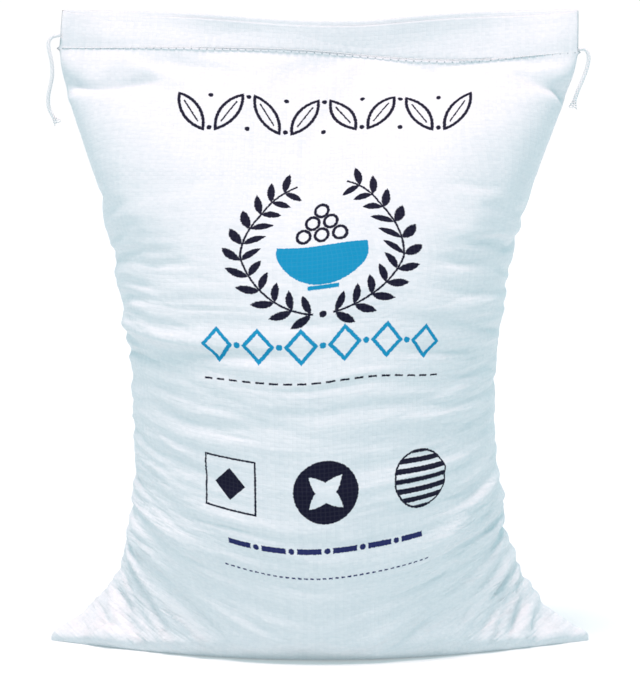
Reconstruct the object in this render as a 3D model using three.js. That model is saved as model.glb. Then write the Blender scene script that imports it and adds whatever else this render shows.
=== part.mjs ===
// A filled sack of woven polypropylene that stands on its sewn bottom seam.
// Millimetres, +Z up, the printed face towards -Y, origin in the middle of the base.
//
// The sack is a flat tube of cloth, sewn across at both ends. A place on the cloth is named by
// its share s of the half width, from -1 at the left fold to +1 at the right fold. Each panel,
// front (-1) and back (+1), is a grid of columns of one s and of nearly level rows.
import * as THREE from "three";
import { mergeVertices } from "three/addons/utils/BufferGeometryUtils.js";

// Silhouette, seen from the front
const HEIGHT = 427; // floor to the top corners
const EAR_HALF = 184.5; // half width at the bottom corners
const WAIST_HALF = 119.7;
const TOP_HALF = 175.5; // half width along the top seam
const WAIST_Z = 105;
const HEM_RISE = 6; // the bottom corners stand up this far before they taper
const FLARE = 26; // height over which the bottom corners taper
const FLARE_POWER = 0.92;
const SWAY = -5; // the shoulders lie this far to one side of the middle
const SWAY_POWER = 1.25; // the sway lies higher than half way up by this power of the height
const RISE_POWER = 1.86; // the sides widen from the waist to the top with this power
const SHOULDER_POWER = 1.38; // mixed with a smooth step of this one
const SHOULDER_SHARE = 0.37; // by this share

// Depth, seen from the side
const BASE_DEPTH = 94;
const BASE_ROUND = 14; // rounding between the flat base and the face
const BELLY_DEPTH = 109;
const BELLY_Z = 150;
const BELLY_RADIUS = 560; // vertical curve of the face above the belly
const FILL_Z = 262; // from here up the faces lean together in straight lines
const LEAN = 0.7; // depth lost for each millimetre of height there
const FILL_SOFTNESS = 12;
const CLOTH_HALF = 1.3; // half thickness where the two layers lie together
const FOLD_POWER = 9; // the two layers part this squarely at the side folds

// Level sections of the lowest part are pointed lenses, and rounder above
const LENS_POWER = 2.3;
const LENS_TOP = 85;

// Top seam and top edge
const SEAM_Z = 401;
const SEAM_DIP = 8.5; // the seam sags this much at SEAM_DIP_AT of the half width
const SEAM_DIP_AT = 0.52;
const EDGE_DIP = 7.5;
const EDGE_DIP_AT = 0.02;
const DIP_WIDTH = 0.46;

// Waves of the header, which die out below the seam
const WAVE = 6.5;
const WAVE_LENGTH = 196;
const WAVE_SHIFT = 20;
const RIPPLE = 2.6;
const RIPPLE_LENGTH = 88;
const RIPPLE_SHIFT = -12;
const WAVE_FADE = 125;
const FRONT_DROP = 3.4; // the front layer's top edge lies this much lower than the back's
const EDGE_CORNER = 12; // the two edges meet this squarely at the side folds
const LEAN_BACK = 0.34; // the header leans back by this share of the height above the seam
const LEAN_SWING = 0.16; // more and less along the seam
const LEAN_MIDDLE = 10;
const LEAN_LENGTH = 175;
const LEAN_SLANT = 1.6; // these waves move outwards by this share of the height
const LEAN_TURN = 40;

// Creases that run in from the side folds along the cloth, and the pleat under the top corners
const SLACK_FROM = 4; // heights between which the sides hold spare cloth
const SLACK_FULL = 35;
const SLACK_ENDS = 225;
const SLACK_NONE = 335;
const CREASE = 1.7; // height of the creases on the flanks
const CORNER_CREASE = 2.6; // and beside the bottom corners
const CREASE_LENGTH = 27;
const CREASE_SIDES = [0.25, 0.85]; // shares of the half width between which they grow
const CREASE_EDGE = 0.88; // share from which they are lower again, by EDGE_LOSS
const EDGE_LOSS = 0.6;
const CORNER_FROM = [12, 45]; // heights along the cloth where the corner creases begin
const FLANK_FROM = [80, 150]; // where they turn into the flank creases
const FLANK_TO = [0.64, 0.78]; // shares of the cloth's length where those end
const UNEVEN = [0.7, 0.3, 31]; // mean, swing and length in radians of the creases' strength
const DRIFT = [7, 53]; // swing and length in radians of their wandering
const CROSS_DRIFT = 9; // they lie this much lower or higher in the middle of a face
const RIGHT_TURN = 2.1; // the right side's creases are out of step by this angle
const FLOOR_SHARE = 0.5; // a crease takes a point down to this share of its height at most
const PLEAT = 5.5;
const PLEAT_DROP = 26; // height of the pleat's valley below the seam
const PLEAT_WIDTH = 16;
const PLEAT_FROM = [0.35, 0.75]; // shares of the half width where the pleat begins
const PLEAT_TO = [0.8, 1];

// Grid of a panel
const COLUMNS = 36;
const BASE_ROWS = 5;
const BELLY_ROWS = 34;
const BELLY_ROW_POWER = 1.15; // the rows lie closer towards the base
const UPPER_ROWS = 15;
const HEADER_ROWS = 3;

// Sewing thread
const STITCH_RADIUS = 0.8;
const STITCH_SIDES = 6;
const SEAM_STEPS = 70; // lengthwise steps of a seam thread
const TAIL_RADIUS = 1.25;
const TAIL_SIDES = 8;
const TAIL_STEP = 2.1; // length of a step of the free ends
const THREAD_GAP = 0.6; // clear of the cloth, which the thread's straight stretches cut into

const CLOTH_COLOUR = 0xe9f1f5;
const THREAD_COLOUR = 0xeef2f3;

const clamp = (x, low, high) => Math.min(high, Math.max(low, x));
const mix = (a, b, share) => a + (b - a) * share;
const smooth = (low, high, x) => {
  const t = clamp((x - low) / (high - low), 0, 1);
  return t * t * (3 - 2 * t);
};
const softMin = (a, b, k) => (a + b - Math.hypot(a - b, k)) / 2;
const bump = (x, middle, width) => Math.exp(-(((x - middle) / width) ** 2));
const shares = (count) => Array.from({ length: count + 1 }, (_, i) => i / count);

// Half width of the silhouette at height z
function halfWidth(z) {
  const up = clamp((z - WAIST_Z) / (SEAM_Z - WAIST_Z), 0, 1);
  const rise = mix(up ** RISE_POWER, smooth(0, 1, up ** SHOULDER_POWER), SHOULDER_SHARE);
  const flare = Math.exp(-((Math.max(0, z - HEM_RISE) / FLARE) ** FLARE_POWER));
  return WAIST_HALF + (TOP_HALF - WAIST_HALF) * rise + (EAR_HALF - WAIST_HALF) * flare;
}

// Half depth of the filling in the middle of the sack at height z
function halfDepth(z) {
  const below = Math.max(0, (BELLY_Z - z) / BELLY_Z);
  const above = Math.max(0, z - BELLY_Z);
  const corner = Math.max(0, 1 - z / BASE_ROUND);
  let belly = BELLY_DEPTH - (BELLY_DEPTH - BASE_DEPTH) * below ** 3;
  belly -= above ** 2 / (2 * BELLY_RADIUS);
  belly -= BASE_ROUND * (1 - Math.sqrt(1 - corner ** 2));
  return Math.max(0, softMin(belly, LEAN * (SEAM_Z - z), FILL_SOFTNESS));
}

const seamHeight = (s) => SEAM_Z - SEAM_DIP * bump(s, SEAM_DIP_AT, DIP_WIDTH);
const edgeHeight = (s, panel) => {
  const drop = panel < 0 ? FRONT_DROP * (1 - Math.abs(s) ** EDGE_CORNER) : 0;
  return HEIGHT - EDGE_DIP * bump(s, EDGE_DIP_AT, DIP_WIDTH) - drop;
};

// How far the header, and the cloth some way below it, swing forwards (-) or backwards (+)
function headerWave(x, level) {
  const fade = smooth(SEAM_Z - WAVE_FADE, SEAM_Z, level);
  const wave = WAVE * Math.sin((2 * Math.PI * (x + WAVE_SHIFT)) / WAVE_LENGTH);
  const ripple = RIPPLE * Math.sin((2 * Math.PI * (x + RIPPLE_SHIFT)) / RIPPLE_LENGTH);
  return fade * (wave + ripple);
}

// How far the header leans backwards
function headerLean(x, level) {
  const above = Math.max(0, level - SEAM_Z);
  const slanted = x - LEAN_SLANT * above * Math.tanh(x / LEAN_TURN) - LEAN_MIDDLE;
  return above * (LEAN_BACK - LEAN_SWING * Math.cos((2 * Math.PI * slanted) / LEAN_LENGTH));
}

// A place on the smooth sack: s across, level the height at the side folds, z the height here.
// Between the filling's rim and the straight seam the cloth spans as a flat triangle in the
// middle of each face, with a cone at each side whose tip is the seam's end.
function place(s, level, z, panel) {
  const across = Math.abs(s);
  const width = halfWidth(level);
  const flat = clamp((level - FILL_Z) / (SEAM_Z - FILL_Z), 0, 1);
  const turn = clamp((across - flat) / (1 - flat + 1e-9), 0, 1);
  const arc = Math.sin((Math.PI * turn) / 2);
  const lens = 1 - smooth(0, LENS_TOP, level);
  const round = mix(arc, across, lens);
  const reach = Math.min(across, flat) * TOP_HALF + (width - flat * TOP_HALF) * round;
  const section = (1 - round ** 2) ** (mix(1, LENS_POWER, lens) / 2);
  const x = Math.sign(s) * reach + SWAY * Math.sin(Math.PI * (level / HEIGHT) ** SWAY_POWER);
  const layer = level > 0 ? CLOTH_HALF * (1 - across ** FOLD_POWER) ** (1 / FOLD_POWER) : 0;
  const depth = halfDepth(level) * section + layer;
  return new THREE.Vector3(x, panel * depth + headerWave(x, level) + headerLean(x, level), z);
}

// Rows as functions from s to a place, from the bottom seam out over the base and up to the edge
const baseRow = (share, panel) => (s) => {
  const point = place(s, 0, 0, panel);
  point.y *= share;
  return point;
};
const bellyRow = (level, panel) => (s) => place(s, level, level, panel);
const upperRow = (share, panel) => (s) =>
  place(s, mix(FILL_Z, SEAM_Z, share), mix(FILL_Z, seamHeight(s), share), panel);
const headerRow = (share, panel) => (s) =>
  place(s, mix(SEAM_Z, HEIGHT, share), mix(seamHeight(s), edgeHeight(s, panel), share), panel);

const rowsOf = (panel) => [
  ...shares(BASE_ROWS).map((share) => baseRow(share, panel)),
  ...shares(BELLY_ROWS).slice(1).map((share) => bellyRow(FILL_Z * share ** BELLY_ROW_POWER, panel)),
  ...shares(UPPER_ROWS).slice(1).map((share) => upperRow(share, panel)),
  ...shares(HEADER_ROWS).slice(1).map((share) => headerRow(share, panel)),
];
const columnShares = shares(COLUMNS).map((share) => 2 * share - 1);

// Height of the creases at s across and t along the cloth from the bottom seam
function crease(s, t, panel, length) {
  const across = Math.abs(s);
  const turn = s > 0 ? RIGHT_TURN : 0;
  const side = smooth(...CREASE_SIDES, across) * (1 - EDGE_LOSS * smooth(CREASE_EDGE, 1, across));
  const corner = CORNER_CREASE * smooth(...CORNER_FROM, t) * (1 - smooth(...FLANK_FROM, t));
  const flank = CREASE * smooth(...FLANK_FROM, t) * (1 - smooth(...FLANK_TO, t / length));
  const [mean, swing, swingLength] = UNEVEN;
  const uneven = mean + swing * Math.sin(t / swingLength + turn);
  const drift = DRIFT[0] * Math.sin(t / DRIFT[1] + turn) + CROSS_DRIFT * panel * (1 - across);
  const wave = Math.sin((2 * Math.PI * (t + drift)) / CREASE_LENGTH + turn);
  return side * uneven * (corner + flank) * wave;
}

// A valley under each top corner, where the faces draw together below the seam
function pleat(s, z) {
  const across = Math.abs(s);
  const side = smooth(...PLEAT_FROM, across) * (1 - smooth(...PLEAT_TO, across));
  return -PLEAT * side * bump(z, SEAM_Z - PLEAT_DROP, PLEAT_WIDTH);
}

// The cloth's own height above the bottom seam at each point. The sides are shorter than the
// middle, so the cloth between the base and the shoulder takes up the difference in creases.
function clothHeights(rows) {
  const takeUp = rows.map(([{ z }]) => {
    const over = smooth(SLACK_ENDS, SLACK_NONE, z);
    return smooth(SLACK_FROM, SLACK_FULL, z) * (1 - over);
  });
  const middle = COLUMNS / 2;
  const spans = rows.map((row, i) => row.map((point, j) => (i > 0 ? point.distanceTo(rows[i - 1][j]) : 0)));
  const total = (column, weight) => spans.reduce((sum, row, i) => sum + row[column] * weight[i], 0);
  const length = total(middle, rows.map(() => 1));
  const heights = rows.map(() => []);
  for (let j = 0; j <= COLUMNS; j++) {
    const slack = (length - total(j, rows.map(() => 1))) / total(j, takeUp);
    let t = 0;
    rows.forEach((_, i) => {
      t += spans[i][j] * (1 + slack * takeUp[i]);
      heights[i][j] = t;
    });
  }
  return { heights, length };
}

// A panel as rows of points, with the creases laid on along its normals
function panelRows(panel) {
  const rows = rowsOf(panel).map((row) => columnShares.map(row));
  const { heights, length } = clothHeights(rows);
  return rows.map((row, i) =>
    row.map((point, j) => {
      const up = rows[Math.min(i + 1, rows.length - 1)][j].clone().sub(rows[Math.max(i - 1, 0)][j]);
      const across = row[Math.min(j + 1, COLUMNS)].clone().sub(row[Math.max(j - 1, 0)]);
      const normal = across.cross(up).multiplyScalar(-panel).normalize();
      const s = columnShares[j];
      if (Math.abs(s) === 1) normal.set(s, 0, 0);
      if (i <= BASE_ROWS) return point.clone();
      const height = crease(s, heights[i][j], panel, length) + pleat(s, point.z);
      const moved = point.clone().addScaledVector(normal, height);
      moved.z = Math.max(moved.z, point.z * FLOOR_SHARE);
      return moved;
    }),
  );
}

// A geometry from quads, with vertices shared within this distance and no collapsed triangles
const SAME_PLACE = 1e-4;
function geometryOf(quads) {
  const positions = [];
  for (const [a, b, c, d] of quads) for (const p of [a, b, c, a, c, d]) positions.push(p.x, p.y, p.z);
  const loose = new THREE.BufferGeometry();
  loose.setAttribute("position", new THREE.Float32BufferAttribute(positions, 3));
  const joined = mergeVertices(loose, SAME_PLACE);
  const index = [];
  for (let i = 0; i < joined.index.count; i += 3) {
    const [a, b, c] = [0, 1, 2].map((k) => joined.index.getX(i + k));
    if (a !== b && b !== c && c !== a) index.push(a, b, c);
  }
  joined.setIndex(index);
  joined.computeVertexNormals();
  return joined;
}

function sackGeometry() {
  const front = panelRows(-1);
  const back = panelRows(1);
  for (const [i, row] of front.entries())
    for (const j of [0, COLUMNS]) {
      row[j].add(back[i][j]).multiplyScalar(0.5);
      back[i][j].copy(row[j]);
    }
  const quads = [];
  for (let i = 0; i + 1 < front.length; i++)
    for (let j = 0; j < COLUMNS; j++) {
      quads.push([front[i][j], front[i][j + 1], front[i + 1][j + 1], front[i + 1][j]]);
      quads.push([back[i][j + 1], back[i][j], back[i + 1][j], back[i + 1][j + 1]]);
    }
  const top = front.length - 1;
  for (let j = 0; j < COLUMNS; j++)
    quads.push([front[top][j], front[top][j + 1], back[top][j + 1], back[top][j]]);
  return geometryOf(quads);
}

// The line of the top seam on one face
function seamLine(panel) {
  return shares(2 * COLUMNS).slice(1, -1).map((share) => {
    const point = upperRow(1, panel)(2 * share - 1);
    point.y += panel * (STITCH_RADIUS + THREAD_GAP);
    return point;
  });
}

// A cord of the given radius through the points
function cord(path, radius, sides, stepCount) {
  const section = new THREE.Shape(
    Array.from({ length: sides }, (_, i) => {
      const turn = (2 * Math.PI * i) / sides;
      return new THREE.Vector2(radius * Math.cos(turn), radius * Math.sin(turn));
    }),
  );
  return new THREE.ExtrudeGeometry(section, {
    steps: stepCount,
    bevelEnabled: false,
    extrudePath: path,
  });
}

// The free ends of the closing thread: out past the side fold, over, and down beside the sack
const TAIL_LEFT = [
  [-176.8, 4, 409], [-179.1, 3.7, 408.5], [-180.9, 3.2, 407.1], [-182, 2.5, 405],
  [-182.2, 1.8, 403.1], [-181.6, 1, 399], [-180.5, 0.2, 394.4], [-179.6, -0.6, 388.7],
  [-179.5, -1.4, 381.8], [-180.8, -2, 374.9], [-182.1, -2.4, 368], [-181.8, -2.6, 361.2],
  [-179.2, -2.7, 355.4], [-175.6, -2.6, 350.4],
];
const TAIL_RIGHT = [
  [175.5, -2.2, 399.8], [177.3, -2.3, 399.7], [179.2, -2.6, 397.6], [179.8, -3, 393.4],
  [178.9, -3.4, 388.2], [177, -4, 382.6], [174.6, -4.4, 376.8], [172.2, -4.8, 371],
  [170.4, -5, 365.6], [169.2, -5, 360.4],
];
const curveThrough = (points) => new THREE.CatmullRomCurve3(points, false, "centripetal");

function seamThread(panel) {
  return cord(curveThrough(seamLine(panel)), STITCH_RADIUS, STITCH_SIDES, SEAM_STEPS);
}

function threadTail(list) {
  const path = curveThrough(list.map((point) => new THREE.Vector3(...point)));
  return cord(path, TAIL_RADIUS, TAIL_SIDES, Math.round(path.getLength() / TAIL_STEP));
}

const cloth = new THREE.MeshStandardMaterial({ color: CLOTH_COLOUR, roughness: 0.55, metalness: 0 });
const thread = new THREE.MeshStandardMaterial({ color: THREAD_COLOUR, roughness: 0.8, metalness: 0 });

function named(name, geometry, material) {
  const mesh = new THREE.Mesh(geometry, material);
  mesh.name = name;
  return mesh;
}

const bag = new THREE.Group();
bag.add(
  named("sack", sackGeometry(), cloth),
  named("seam_thread_front", seamThread(-1), thread),
  named("seam_thread_back", seamThread(1), thread),
  named("thread_tail_left", threadTail(TAIL_LEFT), thread),
  named("thread_tail_right", threadTail(TAIL_RIGHT), thread),
);

export default bag;
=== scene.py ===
"""A filled sack of woven plastic cloth, sewn shut, that stands on its flattened base.

The sack is a flat tube of cloth, sewn across at both ends. A place on the cloth is named by its
share s of the half width, from -1 at the left fold to +1 at the right fold, and by its height t
above the bottom seam. The smooth form comes from a few driving sizes. A cloth simulation then
finds the wrinkles, from the difference between that form and the flat pattern.
Everything is in metres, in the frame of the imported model.
"""

from __future__ import annotations

import logging
import math
from collections.abc import Callable
from dataclasses import dataclass
from enum import Enum
from functools import reduce

import bmesh
import bpy
import numpy as np
from mathutils import Matrix, Vector


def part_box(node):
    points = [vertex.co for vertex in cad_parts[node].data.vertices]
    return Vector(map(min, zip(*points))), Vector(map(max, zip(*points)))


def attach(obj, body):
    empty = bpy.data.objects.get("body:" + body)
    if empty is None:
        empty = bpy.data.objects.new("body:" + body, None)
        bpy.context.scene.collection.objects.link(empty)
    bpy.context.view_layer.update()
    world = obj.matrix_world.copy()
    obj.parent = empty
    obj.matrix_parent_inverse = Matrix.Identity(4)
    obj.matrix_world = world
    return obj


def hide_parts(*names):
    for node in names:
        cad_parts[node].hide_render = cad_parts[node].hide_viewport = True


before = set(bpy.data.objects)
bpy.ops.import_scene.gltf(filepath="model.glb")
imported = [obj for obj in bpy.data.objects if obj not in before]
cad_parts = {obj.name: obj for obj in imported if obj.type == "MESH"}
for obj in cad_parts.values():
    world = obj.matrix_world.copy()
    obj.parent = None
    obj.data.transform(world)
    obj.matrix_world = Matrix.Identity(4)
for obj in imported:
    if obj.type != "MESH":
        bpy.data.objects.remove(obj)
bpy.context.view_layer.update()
BODY = "root"
MM = 0.001
PER_METRE = 1000
# These two keep divisors above zero.
TINY = 1e-9
TINY_AREA = 1e-12
CLOTH_MAP = "cloth"
SEAM_READING = "above_seam"
STRAND_MAP = "strand"
STITCH_PITCH = 5.4 * MM

Array = np.ndarray
Numbers = np.ndarray | float
Piece = bpy.types.Object
Finish = bpy.types.Material
Socket = bpy.types.NodeSocket
Pair = tuple[float, float]
Point = tuple[float, float, float]
Colour = tuple[float, float, float, float]

log = logging.getLogger("sack")


def smooth(low: float, high: float, x: Numbers) -> Array:
    """Rise smoothly from 0 at low to 1 at high.

    Args:
        low: where the rise starts.
        high: where it ends.
        x: the places that are asked for.

    Returns:
        The share of the rise at each place.
    """
    share = np.clip((np.asarray(x, float) - low) / (high - low), 0, 1)
    return share * share * (3 - 2 * share)


def mix(a: Numbers, b: Numbers, share: Numbers) -> Array:
    """Give the value a share of the way from a to b."""
    return a + (b - a) * share


def bump(x: Numbers, middle: float, width: float) -> Array:
    """Give a bell curve of height 1 round middle."""
    return np.exp(-(((np.asarray(x, float) - middle) / width) ** 2))


def select_only(*pieces: Piece) -> None:
    """Select these pieces alone, and make the first one active.

    Args:
        pieces: the pieces.
    """
    bpy.ops.object.select_all(action="DESELECT")
    for piece in pieces:
        piece.select_set(True)
    bpy.context.view_layer.objects.active = pieces[0]


def linked(name: str, data: bpy.types.ID) -> Piece:
    """Make an object and link it to the scene.

    Args:
        name: its name.
        data: its mesh, camera or light.

    Returns:
        The object.
    """
    made = bpy.data.objects.new(name, data)
    bpy.context.collection.objects.link(made)
    return made


def declare(piece: Piece, node: str) -> None:
    """Tie a piece to the body, hide the solid that it stands for, and report it.

    Args:
        piece: the finished piece.
        node: the solid's node.
    """
    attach(piece, BODY)
    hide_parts(node)
    log.info("%s: %d faces", piece.name, len(piece.data.polygons))


class Panel(Enum):
    """The two faces of the sack, by the sign of their depth."""

    FRONT = -1
    BACK = 1


@dataclass(frozen=True)
class SackForm:
    """Driving sizes of the filled sack, and the smooth surface that follows from them."""

    height: float
    ear_half: float
    waist_half: float = 0.1197
    top_half: float = 0.1755
    waist_z: float = 0.105
    hem_rise: float = 0.006
    flare: float = 0.026
    flare_power: float = 0.92
    sway: float = -0.005
    sway_power: float = 1.25
    rise_power: float = 1.86
    shoulder_power: float = 1.38
    shoulder_share: float = 0.37
    base_depth: float = 0.094
    base_round: float = 0.014
    belly_depth: float = 0.109
    belly_z: float = 0.150
    belly_radius: float = 0.560
    fill_z: float = 0.262
    lean: float = 0.7
    fill_softness: float = 0.012
    cloth_half: float = 0.0013
    lens_power: float = 2.3
    lens_top: float = 0.085
    seam_z: float = 0.401
    seam_dip: float = 0.0085
    seam_dip_at: float = 0.52
    edge_dip: float = 0.0075
    edge_dip_at: float = 0.02
    dip_width: float = 0.46
    wave: float = 0.0065
    wave_length: float = 0.196
    wave_shift: float = 0.020
    ripple: float = 0.0026
    ripple_length: float = 0.088
    ripple_shift: float = -0.012
    wave_fade: float = 0.125
    ripple_fade: float = 0.060
    front_drop: float = 0.0034
    lean_back: float = 0.34
    lean_swing: float = 0.16
    lean_middle: float = 0.010
    lean_length: float = 0.175
    lean_slant: float = 1.6
    lean_turn: float = 0.040
    gape: float = 0.0008
    gape_length: float = 0.120
    gape_power: int = 4
    base_power: int = 3
    drop_power: int = 12
    edge_power: int = 9

    @classmethod
    def from_frame(cls, node: str) -> SackForm:
        """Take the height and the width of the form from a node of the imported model."""
        low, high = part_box(node)
        return cls(height=high[2], ear_half=(high[0] - low[0]) / 2)

    def half_width(self, z: Array) -> Array:
        """Find the half width of the silhouette, which flares at the bottom corners.

        Args:
            z: heights on the sack.

        Returns:
            The half width at each height.
        """
        up = np.clip((z - self.waist_z) / (self.seam_z - self.waist_z), 0, 1)
        rise = mix(up**self.rise_power, smooth(0, 1, up**self.shoulder_power), self.shoulder_share)
        above = np.maximum(0, z - self.hem_rise) / self.flare
        flare = np.exp(-(above**self.flare_power))
        upper = (self.top_half - self.waist_half) * rise
        return self.waist_half + upper + (self.ear_half - self.waist_half) * flare

    def half_depth(self, z: Array) -> Array:
        """Find the half depth of the filling in the middle of the sack.

        Args:
            z: heights on the sack.

        Returns:
            The half depth at each height, 0 above the filling.
        """
        below = np.maximum(0, (self.belly_z - z) / self.belly_z)
        above = np.maximum(0, z - self.belly_z)
        corner = np.clip(1 - z / self.base_round, 0, 1)
        belly = self.belly_depth - (self.belly_depth - self.base_depth) * below**self.base_power
        belly = belly - above**2 / (2 * self.belly_radius)
        belly = belly - self.base_round * (1 - np.sqrt(1 - corner**2))
        lean = self.lean * (self.seam_z - z)
        both = (belly + lean - np.hypot(belly - lean, self.fill_softness)) / 2
        return np.maximum(0, both)

    def seam_height(self, s: Array) -> Array:
        """Give the height of the top seam, which sags."""
        return self.seam_z - self.seam_dip * bump(s, self.seam_dip_at, self.dip_width)

    def edge_height(self, s: Array, panel: Panel) -> Array:
        """Find the height of a panel's top edge, which sags. The front's lies lower.

        Args:
            s: shares of the half width.
            panel: the face of the sack.

        Returns:
            The height at each share.
        """
        edge = self.height - self.edge_dip * bump(s, self.edge_dip_at, self.dip_width)
        drop = self.front_drop if panel is Panel.FRONT else 0
        return edge - drop * (1 - np.abs(s) ** self.drop_power)

    def header_wave(self, x: Array, level: Array) -> Array:
        """Find how far the header, and the cloth below it, swing backwards.

        Args:
            x: places across the sack.
            level: their heights at the side folds.

        Returns:
            How far each place swings.
        """
        fade = smooth(self.seam_z - self.wave_fade, self.seam_z, level)
        near = smooth(self.seam_z - self.ripple_fade, self.seam_z, level)
        wave = self.wave * np.sin(2 * np.pi * (x + self.wave_shift) / self.wave_length)
        ripple = self.ripple * np.sin(2 * np.pi * (x + self.ripple_shift) / self.ripple_length)
        return fade * wave + near * ripple

    def header_lean(self, x: Array, level: Array, panel: Panel) -> Array:
        """Find how far the header leans backwards, and how far its two layers gape.

        Args:
            x: places across the sack.
            level: their heights at the side folds.
            panel: the face of the sack.

        Returns:
            How far back each place lies.
        """
        above = np.maximum(0, level - self.seam_z)
        slanted = x - self.lean_slant * above * np.tanh(x / self.lean_turn) - self.lean_middle
        swing = -np.cos(2 * np.pi * slanted / self.lean_length)
        gape = self.gape * (0.5 + 0.5 * np.sin(2 * np.pi * x / self.gape_length))
        gape = gape * (1 - (x / self.top_half) ** self.gape_power)
        gape = gape * above / (self.height - self.seam_z)
        return above * (self.lean_back + self.lean_swing * swing) + panel.value * gape

    def place(self, s: Array, level: Array, z: Array, panel: Panel) -> Array:
        """Find places on the smooth sack.

        Args:
            s: share of the half width, -1 to 1.
            level: height at the side folds, which sets the section.
            z: height at the place itself.
            panel: the face of the sack.

        Returns:
            The places, with x, y and z last.
        """
        across = np.abs(s)
        width = self.half_width(level)
        flat = np.clip((level - self.fill_z) / (self.seam_z - self.fill_z), 0, 1)
        arc = np.sin(np.pi / 2 * np.clip((across - flat) / (1 - flat + TINY), 0, 1))
        lens = 1 - smooth(0, self.lens_top, level)
        turned = mix(arc, across, lens)
        reach = np.minimum(across, flat) * self.top_half + (width - flat * self.top_half) * turned
        section = np.maximum(0, 1 - turned**2) ** (mix(1, self.lens_power, lens) / 2)
        sway = self.sway * np.sin(np.pi * (level / self.height) ** self.sway_power)
        x = np.sign(s) * reach + sway
        edge = np.maximum(0, 1 - across**self.edge_power) ** (1 / self.edge_power)
        layer = self.cloth_half * edge
        depth = self.half_depth(level) * section + np.where(level > 0, layer, 0)
        y = panel.value * depth + self.header_wave(x, level) + self.header_lean(x, level, panel)
        return np.stack([x, y, z + 0 * s], -1)


@dataclass(frozen=True)
class Tuck:
    """A fold below the top seam: a valley with a long flank above it and a short one below.

    The four shares of the half width are where it starts, is full, starts to fade and is gone.
    The height is the valley's at the second of them, and the slope is per half width.
    """

    panel: Panel
    shares: Colour
    height: float
    slope: float
    depth: float
    flank: float
    rebound: float
    sharpness: float = 1.5

    def depth_at(self, s: Array, z: Array) -> Array:
        """Find how deep the fold is.

        Args:
            s: shares of the half width, on its panel.
            z: heights on the sack.

        Returns:
            The depth at each place.
        """
        line = self.height + self.slope * (s - self.shares[1])
        off = np.maximum((z - line) / self.flank, (line - z) / self.rebound)
        along = smooth(*self.shares[:2], s) * (1 - smooth(*self.shares[2:], s))
        return self.depth * np.clip(1 - off, 0, 1) ** self.sharpness * along


TUCKS = (
    Tuck(Panel.FRONT, (-1, -0.93, -0.68, -0.56), 0.3735, 0.0115, 0.0090, 0.020, 0.0055),
    Tuck(Panel.FRONT, (-0.62, -0.50, -0.30, -0.12), 0.3893, -0.037, 0.0024, 0.010, 0.009),
    Tuck(Panel.FRONT, (0.76, 0.90, 0.96, 1), 0.3715, -0.080, 0.0080, 0.016, 0.0055),
    Tuck(Panel.BACK, (-1, -0.92, -0.82, -0.70), 0.3745, 0.040, 0.0075, 0.018, 0.006),
    Tuck(Panel.BACK, (0.48, 0.62, 0.92, 1), 0.3790, -0.020, 0.0085, 0.019, 0.006),
)


@dataclass(frozen=True)
class ClothGrid:
    """The grid of one panel: columns across, and rows from the bottom seam to the top edge."""

    form: SackForm
    half_cut: float = 0.185
    columns: int = 64
    base_rows: int = 12
    belly_rows: int = 92
    upper_rows: int = 42
    header_rows: int = 9
    belly_power: float = 1.05
    slack_from: float = 0.003
    slack_full: float = 0.022
    slack_ends: float = 0.225
    slack_none: float = 0.335
    spare_to: Pair = (0.30, 0.44)

    @property
    def rows(self) -> int:
        """Number of the last row."""
        return self.base_rows + self.belly_rows + self.upper_rows + self.header_rows

    @property
    def seam_row(self) -> int:
        """Number of the row that the top seam runs along."""
        return self.rows - self.header_rows

    @property
    def ring_size(self) -> int:
        """Number of points round both panels."""
        return 2 * self.columns

    def shares(self) -> Array:
        """Give s for each column."""
        return np.linspace(-1, 1, self.columns + 1)

    def off_fold(self, around: Numbers) -> Numbers:
        """Give the distance from the nearer side fold, for distances round the tube."""
        return np.abs((around + self.half_cut) % (2 * self.half_cut) - self.half_cut)

    def places(self, panel: Panel) -> tuple[Array, Array]:
        """Lay out one smooth panel.

        Args:
            panel: the face of the sack.

        Returns:
            Each row's level, and the points by row and column, with x, y and z last.
        """
        form, s = self.form, self.shares()
        seam, edge = form.seam_height(s), form.edge_height(s, panel)
        base = form.place(s, np.zeros_like(s), 0, panel)
        levels = [0.0] * (self.base_rows + 1)
        rows = [base * (1, i / self.base_rows, 1) for i in range(self.base_rows + 1)]
        for count, power, level_ends, z_ends in (
            (self.belly_rows, self.belly_power, (0, form.fill_z), (0, form.fill_z)),
            (self.upper_rows, 1, (form.fill_z, form.seam_z), (form.fill_z, seam)),
            (self.header_rows, 1, (form.seam_z, form.height), (seam, edge)),
        ):
            for i in range(1, count + 1):
                share = (i / count) ** power
                level = mix(*level_ends, share)
                levels.append(level)
                rows.append(form.place(s, np.full_like(s, level), mix(*z_ends, share), panel))
        return np.array(levels), np.array(rows)

    def cloth_heights(self, levels: Array, points: Array) -> Array:
        """Find the heights t along the cloth.

        The sides of the form are shorter than its middle, and the cloth is as long everywhere,
        so the rows between the base and the shoulder hold more cloth than the form shows.

        Args:
            levels: each row's level.
            points: the points of a smooth panel.

        Returns:
            The height of each point.
        """
        spans = np.zeros(points.shape[:2])
        spans[1:] = np.linalg.norm(np.diff(points, axis=0), axis=-1)
        weight = smooth(self.slack_from, self.slack_full, levels)
        weight = weight * (1 - smooth(self.slack_ends, self.slack_none, levels))
        total = spans.sum(0)
        length = total[self.columns // 2]
        slack = (length - total) / (spans * weight[:, None]).sum(0)
        return np.cumsum(spans * (1 + weight[:, None] * slack), axis=0)


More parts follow.
